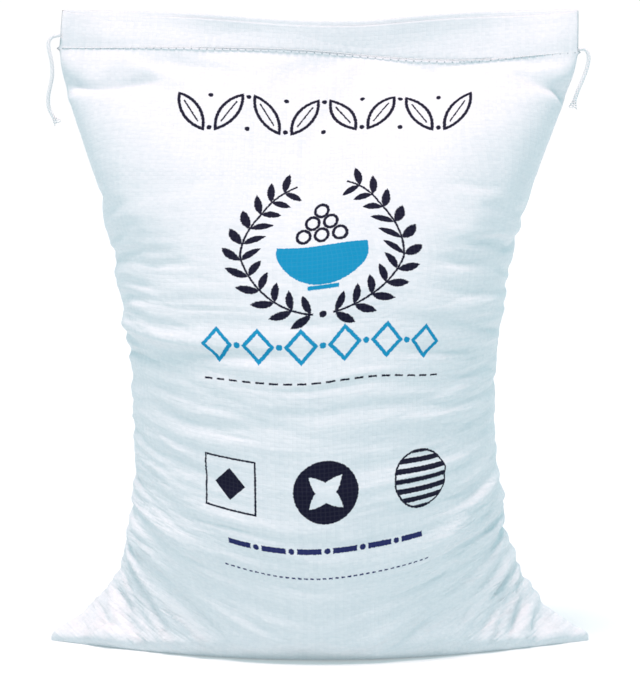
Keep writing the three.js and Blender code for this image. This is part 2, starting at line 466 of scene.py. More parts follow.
@dataclass(frozen=True)
class Creases:
    """Uneven creases along the cloth, each a ridge or a valley that starts near a side fold."""

    draw: int
    count: int
    widths: Pair
    lengths: Pair
    strengths: Pair
    spread: float = 0.075
    heights: Pair = (0.015, 0.42)
    slope: float = 0.09
    droop: Pair = (0.02, 0.42)
    droop_to: Pair = (0.02, 0.17)
    fade_from: Pair = (0.004, 0.03)
    valley_width: float = 0.65
    corner_gain: float = 0.9
    corner_to: Pair = (0.13, 0.20)
    middle_share: float = 0.75
    side_from: Pair = (0.05, 0.55)
    fold_from: float = 0.85
    fold_share: float = 0.6

    def field(self, grid: ClothGrid, around: Array, heights: Array) -> Array:
        """Give the height of the creases at places on the cloth.

        Args:
            grid: the cloth's sizes.
            around: distances round the tube from the left fold.
            heights: heights along the cloth, of a shape that fits the distances.

        Returns:
            The height of the cloth over the smooth one.
        """
        rng = np.random.default_rng(self.draw)
        half = 2 * grid.half_cut
        fold_off = grid.off_fold(around)
        field = np.zeros(np.broadcast(around, heights).shape)
        for _ in range(self.count):
            start = half * rng.integers(0, 2) + rng.normal(0, self.spread)
            height, slope = rng.uniform(*self.heights), rng.normal(0, self.slope)
            width, length = rng.uniform(*self.widths), rng.uniform(*self.lengths)
            strength, sign = rng.uniform(*self.strengths), rng.choice((-1, 1))
            width *= self.valley_width if sign < 0 else 1
            off = (around - start + half) % (2 * half) - half
            droop = mix(*self.droop[::-1], smooth(*self.droop_to, height))
            line = height + slope * off - droop * (fold_off - grid.off_fold(start))
            crease = np.exp(-(((heights - line) / width) ** 2) - (off / length) ** 2)
            field += sign * strength * crease
        across = 1 - fold_off / grid.half_cut
        side = mix(self.middle_share, 1, smooth(*self.side_from, across))
        side = side * mix(1, self.fold_share, smooth(self.fold_from, 1, across))
        corner = 1 + self.corner_gain * (1 - smooth(*self.corner_to, heights))
        spare = smooth(*self.fade_from, heights) * (1 - smooth(*grid.spare_to, heights))
        return field * side * corner * spare


@dataclass(frozen=True)
class Inflation:
    """How the cloth simulation fills the sack, and how far its result is let through."""

    frames: int = 26
    quality: int = 7
    pressure: float = 6.0
    tension: float = 60.0
    compression: float = 120.0
    shear: float = 8.0
    bending: float = 0.15
    vertex_mass: float = 0.3
    air_damping: float = 2.0
    spring_damping: float = 10.0
    bending_damping: float = 0.5
    broad_rows: int = 9
    broad_columns: int = 5
    broad_passes: int = 3
    broad_cap: float = 0.004
    fine_cap: float = 0.006
    seam_calm: float = 0.060

    def run(self, cloth: Piece, cut: Array, held: list[int]) -> Array:
        """Inflate a mesh whose cloth was cut to a flat pattern.

        Args:
            cloth: the mesh in its smooth form.
            cut: the flat pattern, one point for each vertex.
            held: the vertices that the simulation leaves in place.

        Returns:
            The vertices after the last frame.
        """
        cloth.shape_key_add(name="formed")
        pattern = cloth.shape_key_add(name="cut")
        pattern.data.foreach_set("co", cut.ravel())
        cloth.vertex_groups.new(name="held").add(held, 1.0, "REPLACE")
        modifier = cloth.modifiers.new("inflate", "CLOTH")
        settings = modifier.settings
        settings.quality = self.quality
        settings.mass = self.vertex_mass
        settings.air_damping = self.air_damping
        for spring in ("tension", "compression", "shear"):
            setattr(settings, spring + "_stiffness", getattr(self, spring))
            setattr(settings, spring + "_damping", self.spring_damping)
        settings.bending_model = "ANGULAR"
        settings.bending_stiffness = self.bending
        settings.bending_damping = self.bending_damping
        settings.vertex_group_mass = "held"
        settings.pin_stiffness = 1.0
        settings.rest_shape_key = pattern
        settings.use_pressure = True
        settings.uniform_pressure_force = self.pressure
        settings.effector_weights.gravity = 0.0
        modifier.collision_settings.use_collision = False
        modifier.collision_settings.use_self_collision = False
        modifier.point_cache.frame_start = 1
        modifier.point_cache.frame_end = self.frames
        scene = bpy.context.scene
        for number in range(1, self.frames + 1):
            scene.frame_set(number)
        shown = cloth.evaluated_get(bpy.context.evaluated_depsgraph_get())
        result = np.empty(len(cloth.data.vertices) * 3)
        shown.data.vertices.foreach_get("co", result)
        cloth.modifiers.remove(modifier)
        cloth.shape_key_clear()
        scene.frame_set(1)
        return result.reshape(-1, 3)


@dataclass(frozen=True)
class WovenSack:
    """The tube of cloth, as rings of points that run round both panels."""

    form: SackForm
    grid: ClothGrid
    inflation: Inflation
    folds: Creases = Creases(11, 420, (0.003, 0.0060), (0.022, 0.08), (0.0006, 0.0023))
    fine_creases: Creases = Creases(5, 620, (0.0020, 0.0038), (0.008, 0.040), (0.00025, 0.0009))
    corner_creases: Creases = Creases(
        7, 190, (0.0022, 0.0042), (0.018, 0.05), (0.0006, 0.0018), spread=0.030, heights=(0.004, 0.12),
        slope=0.12, droop=(0.35, 0.9), droop_to=(0.02, 0.12), fade_from=(0, 0.010), corner_gain=0,
        middle_share=0, side_from=(0.40, 0.70), fold_from=0.80, fold_share=0.12,
    )  # fmt: skip
    room_share: float = 0.45
    flat_to: float = 0.008
    inner_share: float = 0.55
    weld_within: float = 1e-6
    name: str = "woven_sack"

    @staticmethod
    def joined(front: Array, back: Array) -> Array:
        """Join two panels' rows to rings that run on from the right fold over the back."""
        return np.concatenate([front[:, :-1], back[:, :0:-1]], axis=1)

    def rings(self) -> tuple[Array, Array]:
        """Lay out the smooth tube.

        Returns:
            The points of its rings, and their heights along the cloth.
        """
        levels, front = self.grid.places(Panel.FRONT)
        back = self.grid.places(Panel.BACK)[1]
        heights = self.grid.cloth_heights(levels, front)
        return self.joined(front, back), self.joined(heights, heights)

    def around(self) -> Array:
        """Give each ring point's distance round the tube from the left fold."""
        return np.arange(self.grid.ring_size) * self.grid.half_cut / (self.grid.columns / 2)

    def share_across(self) -> Array:
        """Give s for each point of a ring."""
        s = self.grid.shares()[None]
        return self.joined(s, s)[0]

    def tucked(self, rings: Array) -> Array:
        """Find the depth of the folds below the top seam.

        Args:
            rings: the points of the rings.

        Returns:
            The depth at each point.
        """
        depth = np.zeros(rings.shape[:2])
        columns = self.grid.columns
        panels = {Panel.FRONT: slice(0, columns), Panel.BACK: slice(columns, None)}
        for tuck in TUCKS:
            part = panels[tuck.panel]
            depth[:, part] += tuck.depth_at(self.share_across()[part], rings[:, part, 2])
        return depth

    @staticmethod
    def normals(rings: Array) -> Array:
        """Find the outward normals.

        Args:
            rings: the points of the rings.

        Returns:
            The normal at each point.
        """
        across = np.roll(rings, -1, axis=1) - np.roll(rings, 1, axis=1)
        normal = np.cross(across, np.gradient(rings, axis=0))
        return normal / np.maximum(np.linalg.norm(normal, axis=-1, keepdims=True), TINY_AREA)

    def quads(self, row_count: int) -> list[tuple[int, int, int, int]]:
        """List the faces between rings whose points are stored one ring after the other.

        Args:
            row_count: the number of rings.

        Returns:
            The four corners of each face.
        """
        size = self.grid.ring_size
        faces = []
        for low in range(0, (row_count - 1) * size, size):
            for k in range(size):
                after = (k + 1) % size
                faces.append((low + k, low + after, low + size + after, low + size + k))
        return faces

    def inflated(self) -> tuple[Array, Array]:
        """Run the cloth simulation.

        Returns:
            The rings with their wrinkles, and the heights along the cloth.
        """
        rings, heights = self.rings()
        rings = rings - self.normals(rings) * self.tucked(rings)[..., None]
        field = self.folds.field(self.grid, self.around(), heights)
        field = field * smooth(0, self.flat_to, rings[..., 2])
        start = rings + self.normals(rings) * field[..., None]
        s = np.broadcast_to(self.share_across(), heights.shape)
        cut = np.stack([s * self.grid.half_cut, 0 * s, heights], -1)
        foot, size = self.grid.base_rows, self.grid.ring_size
        wall = start[foot:]
        mesh = bpy.data.meshes.new("cloth")
        mesh.from_pydata(wall.reshape(-1, 3).tolist(), [], self.quads(len(wall)))
        cloth = linked("cloth", mesh)
        held = [*range(size), *range((self.grid.seam_row - foot) * size, len(wall) * size)]
        result = self.inflation.run(cloth, cut[foot:].reshape(-1, 3), held).reshape(wall.shape)
        bpy.data.objects.remove(cloth)
        calm = smooth(0, self.inflation.seam_calm, heights[self.grid.seam_row] - heights)
        return self.let_through(rings, np.concatenate([rings[:foot], result]), calm), heights

    def let_through(self, rings: Array, result: Array, calm: Array) -> Array:
        """Cap the broad part of the simulation's moves, and keep its wrinkles.

        Args:
            rings: the smooth tube.
            result: the simulated one.
            calm: the share of the broad moves that each point keeps.

        Returns:
            The smooth tube with the simulated wrinkles.
        """
        sizes = self.inflation
        moves = result - rings
        broad = moves
        for _ in range(sizes.broad_passes):
            for axis, reach in ((0, sizes.broad_rows), (1, sizes.broad_columns)):
                broad = self._averaged(broad, axis, reach)
        fine = self._capped(moves - broad, sizes.fine_cap)
        return rings + self._capped(broad, sizes.broad_cap) * calm[..., None] + fine

    @staticmethod
    def _averaged(values: Array, axis: int, reach: int) -> Array:
        """Average over neighbours: rows end at the edges, and a ring runs on round the tube.

        Args:
            values: the values by row and ring point.
            axis: 0 for averages up the cloth, 1 for averages round it.
            reach: the number of neighbours on each side.

        Returns:
            The averages.
        """
        pad = [(reach, reach) if n == axis else (0, 0) for n in range(values.ndim)]
        padded = np.cumsum(np.pad(values, pad, mode="wrap" if axis else "edge"), axis=axis)
        padded = np.concatenate([np.zeros_like(padded.take([0], axis)), padded], axis)
        span = 2 * reach + 1
        count = values.shape[axis]
        ends = padded.take(range(span, span + count), axis)
        return (ends - padded.take(range(count), axis)) / span

    @staticmethod
    def _capped(moves: Array, cap: float) -> Array:
        """Bring long moves softly under the cap."""
        length = np.linalg.norm(moves, axis=-1, keepdims=True)
        return moves * np.tanh(length / cap) * cap / np.maximum(length, TINY)

    def lipped(self, rings: Array, heights: Array) -> tuple[Array, Array]:
        """Add the inner faces of the two layers above the top seam, down to the seam.

        Args:
            rings: the outer face of the whole tube.
            heights: the heights of its points along the cloth.

        Returns:
            The rings with those of the inner faces after them, and their heights.
        """
        seam, layer = self.grid.seam_row, self.form.cloth_half * self.inner_share
        inward = -self.normals(rings)
        inner = (rings + inward * layer)[:seam:-1]
        closed = rings[seam]
        half = self.grid.columns
        middle = closed.copy()
        middle[1:half] = (closed[1:half] + closed[:half:-1]) / 2
        middle[:half:-1] = middle[1:half]
        return (
            np.concatenate([rings, inner, middle[None]]),
            np.concatenate([heights, heights[:seam:-1], heights[seam][None]]),
        )

    def crease_finely(self, sack: Piece) -> None:
        """Press the small creases into the finished mesh.

        Args:
            sack: the mesh's object.
        """
        mesh = sack.data
        count, corner_count = len(mesh.vertices), len(mesh.loops)
        corners, places = np.empty(corner_count, int), np.empty(2 * corner_count)
        mesh.loops.foreach_get("vertex_index", corners)
        mesh.uv_layers[CLOTH_MAP].data.foreach_get("uv", places)
        cloth = np.zeros((count, 2))
        cloth[corners] = places.reshape(-1, 2)
        points, normals = np.empty(3 * count), np.empty(3 * count)
        mesh.vertices.foreach_get("co", points)
        mesh.vertices.foreach_get("normal", normals)
        points, normals = points.reshape(-1, 3), normals.reshape(-1, 3)
        field = sum(c.field(self.grid, *cloth.T) for c in (self.fine_creases, self.corner_creases))
        room = self.room_share * np.abs(points[:, 1])
        thin = points[:, 2] < self.form.seam_z - self.form.wave_fade
        field = np.where(thin, np.maximum(field, -room), field)
        field = field * smooth(0, self.flat_to, points[:, 2])
        moved = points + normals * field[:, None]
        mesh.vertices.foreach_set("co", moved.ravel())
        mesh.update()

    def build(self, finish: Finish) -> Piece:
        """Make the sack's mesh, with its cloth laid out as a UV map.

        Args:
            finish: the woven cloth.

        Returns:
            The finished object.
        """
        outer, heights = self.inflated()
        seam_heights = heights[self.grid.seam_row]
        rings, heights = self.lipped(outer, heights)
        mesh = bpy.data.meshes.new(self.name)
        mesh.from_pydata(rings.reshape(-1, 3).tolist(), [], self.quads(len(rings)))
        around = np.append(self.around(), 4 * self.grid.half_cut)
        corners = np.empty(len(mesh.loops), int)
        mesh.loops.foreach_get("vertex_index", corners)
        column = corners % (len(around) - 1)
        corner_in_face = np.arange(len(corners)) % 4
        closing = (column == 0) & ((corner_in_face == 1) | (corner_in_face == 2))
        run = around[np.where(closing, len(around) - 1, column)]
        places = np.stack([run, heights.ravel()[corners]], -1)
        mesh.uv_layers.new(name=CLOTH_MAP).data.foreach_set("uv", places.ravel())
        above = mesh.attributes.new(SEAM_READING, "FLOAT", "POINT")
        above.data.foreach_set("value", (heights - seam_heights).ravel())
        sack = linked(self.name, mesh)
        weld = sack.modifiers.new("weld", "WELD")
        weld.merge_threshold = self.weld_within
        smoother = sack.modifiers.new("smooth", "SUBSURF")
        smoother.levels = smoother.render_levels = 1
        select_only(sack)
        for modifier in (weld.name, smoother.name):
            bpy.ops.object.modifier_apply(modifier=modifier)
        self.crease_finely(sack)
        sack.data.shade_smooth()
        sack.data.materials.append(finish)
        return sack


@dataclass(frozen=True)
class TopSeam:
    """The closing seam: straight stitches on the front, and a chain of loops on the back."""

    form: SackForm
    grid: ClothGrid
    stitch_radius: float = 0.30 * MM
    stitch_sides: int = 8
    stitch_proud: float = -0.08 * MM
    stitch_cuts: tuple[float, ...] = (-0.42, -0.3, 0, 0.3, 0.42)
    stitch_sinks: tuple[Pair, ...] = ((0.38, 0.3 * MM), (0.48, 0.6 * MM))
    stitch_belly: float = 0.2
    belly_swell: Point = (1, 1.15, 1.2)
    loop_width: float = 2.3 * MM
    loop_overlap: float = 1.5 * MM
    loop_radius: float = 0.36 * MM
    loop_segments: tuple[int, int] = (14, 6)
    loop_proud: float = 0.45 * MM
    loop_lift: float = 0.45 * MM
    loop_middle: float = 0.1 * MM
    loop_taper: Point = (1, 1, 0.8)

    def holes(self) -> Array:
        """Give s at each needle hole."""
        count = int(2 * self.grid.half_cut / STITCH_PITCH)
        return (np.arange(count) + 0.5 - count / 2) * STITCH_PITCH / self.grid.half_cut

    def frames(self, panel: Panel, proud: float) -> list[Matrix]:
        """Give a frame between each two holes: x along the seam, y out of the cloth.

        Args:
            panel: the face of the sack.
            proud: distance of the frames' origins from the cloth.

        Returns:
            One matrix for each stitch.
        """
        s = self.holes()
        line = self.form.place(s, np.full_like(s, self.form.seam_z), self.form.seam_height(s), panel)
        result = []
        for low, high in zip(line, line[1:]):
            along = Vector(high - low).normalized()
            out = along.cross((0, 0, -panel.value)).normalized()
            side = along.cross(out)
            origin = Vector((low + high) / 2) + out * proud
            result.append(Matrix((along, out, side)).transposed().to_4x4())
            result[-1].translation = origin
        return result

    def _stitch(self) -> Piece:
        """Model one straight stitch, whose ends turn down into the cloth.

        Returns:
            The stitch, along x.
        """
        bpy.ops.mesh.primitive_cylinder_add(
            vertices=self.stitch_sides,
            radius=self.stitch_radius,
            depth=STITCH_PITCH,
            rotation=(0, math.pi / 2, 0),
        )
        bpy.ops.object.transform_apply(rotation=True)
        stitch = bpy.context.object
        bpy.ops.object.mode_set(mode="EDIT")
        for share in self.stitch_cuts:
            bpy.ops.mesh.select_all(action="SELECT")
            bpy.ops.mesh.bisect(plane_co=(share * STITCH_PITCH, 0, 0), plane_no=(1, 0, 0))
        for share, sink in self.stitch_sinks:
            self._select(stitch, lambda co: abs(co.x) > share * STITCH_PITCH)
            bpy.ops.transform.translate(value=(0, -sink, 0))
        self._select(stitch, lambda co: abs(co.x) < self.stitch_belly * STITCH_PITCH)
        bpy.ops.transform.resize(value=self.belly_swell)
        bpy.ops.object.mode_set(mode="OBJECT")
        return stitch

    def _loop(self) -> Piece:
        """Model one loop of the chain, lying flat, its far end lifted over the next one's start.

        Returns:
            The loop, along x.
        """
        bpy.ops.mesh.primitive_torus_add(
            major_segments=self.loop_segments[0],
            minor_segments=self.loop_segments[1],
            major_radius=self.loop_width / 2 - self.loop_radius,
            minor_radius=self.loop_radius,
            rotation=(math.pi / 2, 0, 0),
        )
        bpy.ops.object.transform_apply(rotation=True)
        loop = bpy.context.object
        bpy.ops.object.mode_set(mode="EDIT")
        stretch = (STITCH_PITCH + self.loop_overlap - self.loop_width) / 2
        for sign in (-1, 1):
            self._select(loop, lambda co: co.x * sign > self.loop_middle)
            bpy.ops.transform.translate(value=(sign * stretch, 0, 0))
        self._select(loop, lambda co: co.x > stretch)
        bpy.ops.transform.translate(value=(0, self.loop_lift, 0))
        self._select(loop, lambda co: co.x < -stretch)
        bpy.ops.transform.resize(value=self.loop_taper)
        bpy.ops.object.mode_set(mode="OBJECT")
        return loop

    @staticmethod
    def _select(piece: Piece, wanted: Callable[[Vector], bool]) -> None:
        """Select points of a piece in edit mode.

        Args:
            piece: the piece.
            wanted: says of a point's place whether the point is selected.
        """
        bpy.ops.mesh.select_all(action="DESELECT")
        sculpt = bmesh.from_edit_mesh(piece.data)
        for point in sculpt.verts:
            point.select_set(wanted(point.co))
        bmesh.update_edit_mesh(piece.data)

    @staticmethod
    def row(
        name: str, model: Piece, frames: list[Matrix], finish: Finish
    ) -> Piece:
        """Copy a modelled stitch along the seam, and join the copies.

        Args:
            name: the name of the row.
            model: the first stitch.
            frames: the place of each copy.
            finish: the thread.

        Returns:
            The whole row of stitches.
        """
        copies = []
        for place in frames:
            mesh = model.data.copy()
            mesh.transform(place)
            copies.append(linked(name, mesh))
        bpy.data.objects.remove(model)
        select_only(*copies)
        bpy.ops.object.join()
        stitches = bpy.context.object
        stitches.name = name
        stitches.data.shade_smooth()
        stitches.data.materials.append(finish)
        return stitches

    def build(self, finish: Finish) -> dict[str, Piece]:
        """Sew both faces.

        Args:
            finish: the thread.

        Returns:
            Each row of stitches, under the name of the solid that it stands for.
        """
        front = self.frames(Panel.FRONT, self.stitch_proud)
        back = self.frames(Panel.BACK, self.loop_proud)
        return {
            "seam_thread_front": self.row("stitches_front", self._stitch(), front, finish),
            "seam_thread_back": self.row("stitches_back", self._loop(), back, finish),
        }


@dataclass(frozen=True)
class ThreadTail:
    """A free end of the closing thread: three strands twisted together, frayed at the end."""

    name: str
    node: str
    route: tuple[Point, ...]
    diameter: float = 2.5 * MM
    strands: int = 3
    strand_radius: float = 0.70 * MM
    twist_radius: float = 0.68 * MM
    twist_pitch: float = 5.2 * MM
    step: float = 0.55 * MM
    sides: int = 8
    root_steps: int = 5
    fray: float = 7 * MM
    fray_spread: float = 2.1 * MM
    fray_power: float = 1.5
    fray_thinning: float = 0.55
    curve_steps: int = 24

    def path(self) -> Array:
        """Lay a centripetal curve through the route.

        Returns:
            The points of the centre line, at even steps.
        """
        marks = np.array(self.route) * MM
        marks = np.vstack([2 * marks[0] - marks[1], marks, 2 * marks[-1] - marks[-2]])
        fine = []
        for a, b, c, d in zip(marks, marks[1:], marks[2:], marks[3:]):
            gaps = [math.sqrt(np.linalg.norm(q - p)) for p, q in ((a, b), (b, c), (c, d))]
            t1, t2, t3 = np.cumsum(gaps)
            t = np.linspace(t1, t2, self.curve_steps, endpoint=False)[:, None]
            ab, bc = mix(a, b, t / t1), mix(b, c, (t - t1) / (t2 - t1))
            cd = mix(c, d, (t - t2) / (t3 - t2))
            abc, bcd = mix(ab, bc, t / t2), mix(bc, cd, (t - t1) / (t3 - t1))
            fine.append(mix(abc, bcd, (t - t1) / (t2 - t1)))
        line = np.vstack([*fine, marks[-2]])
        reach = self.run_along(line)
        even = np.linspace(0, reach[-1], round(reach[-1] / self.step) + 1)
        return np.stack([np.interp(even, reach, line[:, axis]) for axis in range(3)], -1)

    @staticmethod
    def run_along(line: Array) -> Array:
        """Give the distance along a line at each of its points."""
        return np.append(0, np.cumsum(np.linalg.norm(np.diff(line, axis=0), axis=1)))

    @staticmethod
    def across(line: Array) -> tuple[Array, Array]:
        """Find two directions across a line, without a twist of their own.

        Args:
            line: the points of the line.

        Returns:
            The first and the second direction at each point.
        """
        along = np.gradient(line, axis=0)
        along /= np.linalg.norm(along, axis=1, keepdims=True)
        side = np.cross(along[0], (0, 1, 0))
        sides = []
        for direction in along:
            side = side - direction * (side @ direction)
            side = side / np.linalg.norm(side)
            sides.append(side)
        return np.array(sides), np.cross(along, np.array(sides))

    def strand(self, number: int, line: Array, run: Array) -> Array:
        """Shape one strand, which leaves the others at the frayed end.

        Args:
            number: which of the strands.
            line: the centre line of the thread.
            run: the distance along it at each of its points.

        Returns:
            The rings of points round the strand.
        """
        side, over = self.across(line)
        loose = smooth(run[-1] - self.fray, run[-1], run)
        angle = 2 * np.pi * (run / self.twist_pitch + number / self.strands)
        reach = self.twist_radius + loose**self.fray_power * self.fray_spread
        off = np.cos(angle)[:, None] * side + np.sin(angle)[:, None] * over
        centre = line + reach[:, None] * off
        first, second = (axis[:, None] for axis in self.across(centre))
        radius = self.strand_radius * (1 - self.fray_thinning * loose)
        turn = (2 * np.pi * np.arange(self.sides) / self.sides)[:, None]
        round_ = np.cos(turn) * first + np.sin(turn) * second
        return centre[:, None] + radius[:, None, None] * round_

    def build(self, finish: Finish) -> Piece:
        """Make the twisted strands as one mesh.

        Args:
            finish: the thread.

        Returns:
            The finished piece, tied to the body.
        """
        path = self.path()
        back = np.arange(self.root_steps, 0, -1)[:, None]
        line = np.vstack([path[0] - back * (path[1] - path[0]), path])
        run = self.run_along(line)
        rings = [self.strand(number, line, run) for number in range(self.strands)]
        faces, places = [], []
        size = len(line) * self.sides
        for base in range(0, self.strands * size, size):
            last = base + size - self.sides
            for low, start, end in zip(range(base, last, self.sides), run, run[1:]):
                high = low + self.sides
                for k in range(self.sides):
                    after = (k + 1) % self.sides
                    faces.append((low + k, high + k, high + after, low + after))
                    near, far = k / self.sides, (k + 1) / self.sides
                    places += [(start, near), (end, near), (end, far), (start, far)]
            faces.append(tuple(range(base, base + self.sides)))
            faces.append(tuple(range(last, last + self.sides))[::-1])
            places += [(0, 0)] * (2 * self.sides)
        mesh = bpy.data.meshes.new(self.name)
        mesh.from_pydata(np.concatenate(rings).reshape(-1, 3).tolist(), [], faces)
        mesh.uv_layers.new(name=STRAND_MAP).data.foreach_set("uv", np.array(places).ravel())
        mesh.shade_smooth()
        mesh.materials.append(finish)
        tail = linked(self.name, mesh)
        declare(tail, self.node)
        return tail


LEFT_ROUTE = (
    (-176.8, 4, 409), (-179.1, 3.7, 408.5), (-180.9, 3.2, 407.1), (-182, 2.5, 405),
    (-182.2, 1.8, 403.1), (-181.6, 1, 399), (-180.5, 0.2, 394.4), (-179.6, -0.6, 388.7),
    (-179.5, -1.4, 381.8), (-180.8, -2, 374.9), (-182.1, -2.4, 368), (-181.8, -2.6, 361.2),
    (-179.2, -2.7, 355.4), (-175.6, -2.6, 350.4),
)  # fmt: skip
RIGHT_ROUTE = (
    (175.5, -2.2, 399.8), (177.3, -2.3, 399.7), (179.2, -2.6, 397.6), (179.8, -3, 393.4),
    (178.9, -3.4, 388.2), (177, -4, 382.6), (174.6, -4.4, 376.8), (172.2, -4.8, 371),
    (170.4, -5, 365.6), (169.2, -5, 360.4),
)  # fmt: skip


def node_operator(operation: str, swapped: bool = False) -> Callable[..., Reading]:
    """Make an operator of readings out of a Math node.

    Args:
        operation: the node's operation.
        swapped: whether the other value comes first.

    Returns:
        The method.
    """

    def apply(self: Reading, *others: Reading | float) -> Reading:
        """Add the node."""
        return self.shader.math(operation, *((*others, self) if swapped else (self, *others)))

    return apply


class Reading:
    """A number that varies over a surface, on which Python's operators work."""

    __add__ = __radd__ = node_operator("ADD")
    __sub__, __rsub__ = node_operator("SUBTRACT"), node_operator("SUBTRACT", swapped=True)
    __mul__ = __rmul__ = node_operator("MULTIPLY")
    __truediv__, __pow__ = node_operator("DIVIDE"), node_operator("POWER")
    __abs__, floor = node_operator("ABSOLUTE"), node_operator("FLOOR")
    sin, cosine = node_operator("SINE"), node_operator("COSINE")
    least, most = node_operator("MINIMUM"), node_operator("MAXIMUM")

    def __init__(self, shader: Shader, socket: Socket) -> None:
        """Wrap a socket of a shader."""
        self.shader = shader
        self.socket = socket

    def repeated(self, length: float) -> Reading:
        """Repeat the range from minus to plus half the length."""
        return self.shader.math("FLOORED_MODULO", self + length / 2, length) - length / 2

    def rise(self, low: float, high: float) -> Reading:
        """Rise smoothly from 0 at low to 1 at high."""
        settings, sockets = {"interpolation_type": "SMOOTHSTEP"}, {0: self, 1: low, 2: high}
        made = self.shader.node("ShaderNodeMapRange", settings, sockets)
        return Reading(self.shader, made.outputs[0])


class Shader:
    """A material whose nodes are made by expressions."""

    def __init__(self, name: str) -> None:
        """Start a material with its surface node."""
        self.material = bpy.data.materials.new(name)
        self.material.use_nodes = True
        self.tree = self.material.node_tree
        self.surface = self.tree.nodes["Principled BSDF"]

    def feed(self, socket: Socket, value: object) -> None:
        """Feed an input socket.

        Args:
            socket: the input.
            value: a constant, a reading or the output socket of another node.
        """
        source = value.socket if isinstance(value, Reading) else value
        if isinstance(source, Socket):
            self.tree.links.new(source, socket)
        else:
            socket.default_value = source

    def dress(self, name: str, value: object) -> None:
        """Feed an input of the surface."""
        self.feed(self.surface.inputs[name], value)

    def node(
        self, kind: str, settings: dict[str, object], sockets: dict[str | int, object]
    ) -> bpy.types.Node:
        """Add a node.

        Args:
            kind: the node's type.
            settings: its properties, such as a Math node's operation.
            sockets: what its input sockets get.

        Returns:
            The node.
        """
        made = self.tree.nodes.new(kind)
        for key, value in settings.items():
            setattr(made, key, value)
        for key, value in sockets.items():
            self.feed(made.inputs[key], value)
        return made

    def math(self, operation: str, *values: Reading | float) -> Reading:
        """Add a Math node on the values."""
        made = self.node("ShaderNodeMath", {"operation": operation}, dict(enumerate(values)))
        return Reading(self, made.outputs[0])

    def blend(self, share: Reading | float, first: object, second: object) -> Socket:
        """Mix two colours."""
        made = self.node("ShaderNodeMix", {"data_type": "RGBA"}, {0: share, 6: first, 7: second})
        return made.outputs[2]

    def parts(self, vector: Socket) -> tuple[Reading, Reading, Reading]:
        """Split a vector into its three readings."""
        made = self.node("ShaderNodeSeparateXYZ", {}, {0: vector})
        return tuple(Reading(self, output) for output in made.outputs)

    def noise(self, vector: Socket, scale: float, detail: float) -> Reading:
        """Read a smooth noise, from 0 to 1."""
        made = self.node("ShaderNodeTexNoise", {}, {"Vector": vector, "Scale": scale, "Detail": detail})
        return Reading(self, made.outputs[0])

    def stretched(self, vector: Socket, scale: Point) -> Socket:
        """Scale a vector along each axis."""
        return self.node("ShaderNodeMapping", {}, {"Vector": vector, "Scale": scale}).outputs[0]

    def draw(self, number: Reading) -> Reading:
        """Draw a random number from 0 to 1 for each whole number."""
        made = self.node("ShaderNodeTexWhiteNoise", {"noise_dimensions": "1D"}, {"W": number})
        return Reading(self, made.outputs[0])

    def object_place(self) -> Socket:
        """Give the place on the object, in metres."""
        return self.node("ShaderNodeTexCoord", {}, {}).outputs["Object"]

    def mapped(self, name: str) -> tuple[Reading, Reading]:
        """Give the place on a UV map."""
        return self.parts(self.node("ShaderNodeUVMap", {"uv_map": name}, {}).outputs[0])[:2]

    def raise_by(self, height: Reading, depth: float) -> Socket:
        """Turn a height into a relief, by the metres that a height of 1 stands for."""
        return self.node("ShaderNodeBump", {}, {"Height": height, "Distance": depth}).outputs[0]


def disc(x: Reading, y: Reading, radius: float) -> Reading:
    """Give the distance to a disc, which is below zero inside it."""
    return (x * x + y * y) ** 0.5 - radius


def box(x: Reading, y: Reading, half_width: float, half_height: float) -> Reading:
    """Give the distance to an upright box, which is below zero inside it."""
    return (abs(x) - half_width).most(abs(y) - half_height)


def almond(x: Reading, y: Reading, half_length: float, half_width: float) -> Reading:
    """Give the distance to an almond that lies along y, which is below zero inside it."""
    radius = (half_length**2 + half_width**2) / (2 * half_width)
    return disc(abs(x) + (radius - half_width), y, radius)


def outlined(edge: Reading, half_stroke: float) -> Reading:
    """Turn the distance to a shape into the distance to its outline."""
    return abs(edge) - half_stroke


def turned(x: Reading, y: Reading, angle: float) -> tuple[Reading, Reading]:
    """Turn the plane by an angle in degrees."""
    c, s = math.cos(math.radians(angle)), math.sin(math.radians(angle))
    return x * c + y * s, y * c - x * s


@dataclass(frozen=True)
class DottedRow:
    """A row of like shapes with a dot between each two, in millimetres."""

    level: float
    pitch: float
    count: int
    dot: float
    margin: float
    half_height: float

    @property
    def half(self) -> float:
        """Half the row's length."""
        return self.pitch * self.count / 2

    def finished(self, x: Reading, y: Reading, shapes: Reading, dots_off: Reading) -> Reading:
        """Add the dots and cut the row off at its ends.

        Args:
            x: distance from the middle of the row.
            y: height over it.
            shapes: the distance to its shapes.
            dots_off: height over the dots.

        Returns:
            The distance to the whole row.
        """
        dots = disc((x + self.half).repeated(self.pitch), dots_off, self.dot)
        return shapes.least(dots).most(box(x, y, self.half - self.margin, self.half_height))


@dataclass(frozen=True)
class Dashes:
    """A row of dashes, in millimetres."""

    level: float
    half: float
    pitch: float
    dash: Pair

    def edge(self, x: Reading, v: Reading) -> Reading:
        """Give the distance to the dashes."""
        from_dash = (x + self.half - self.pitch / 2).repeated(self.pitch)
        return box(from_dash, v - self.level, *self.dash).most(abs(x) - self.half)


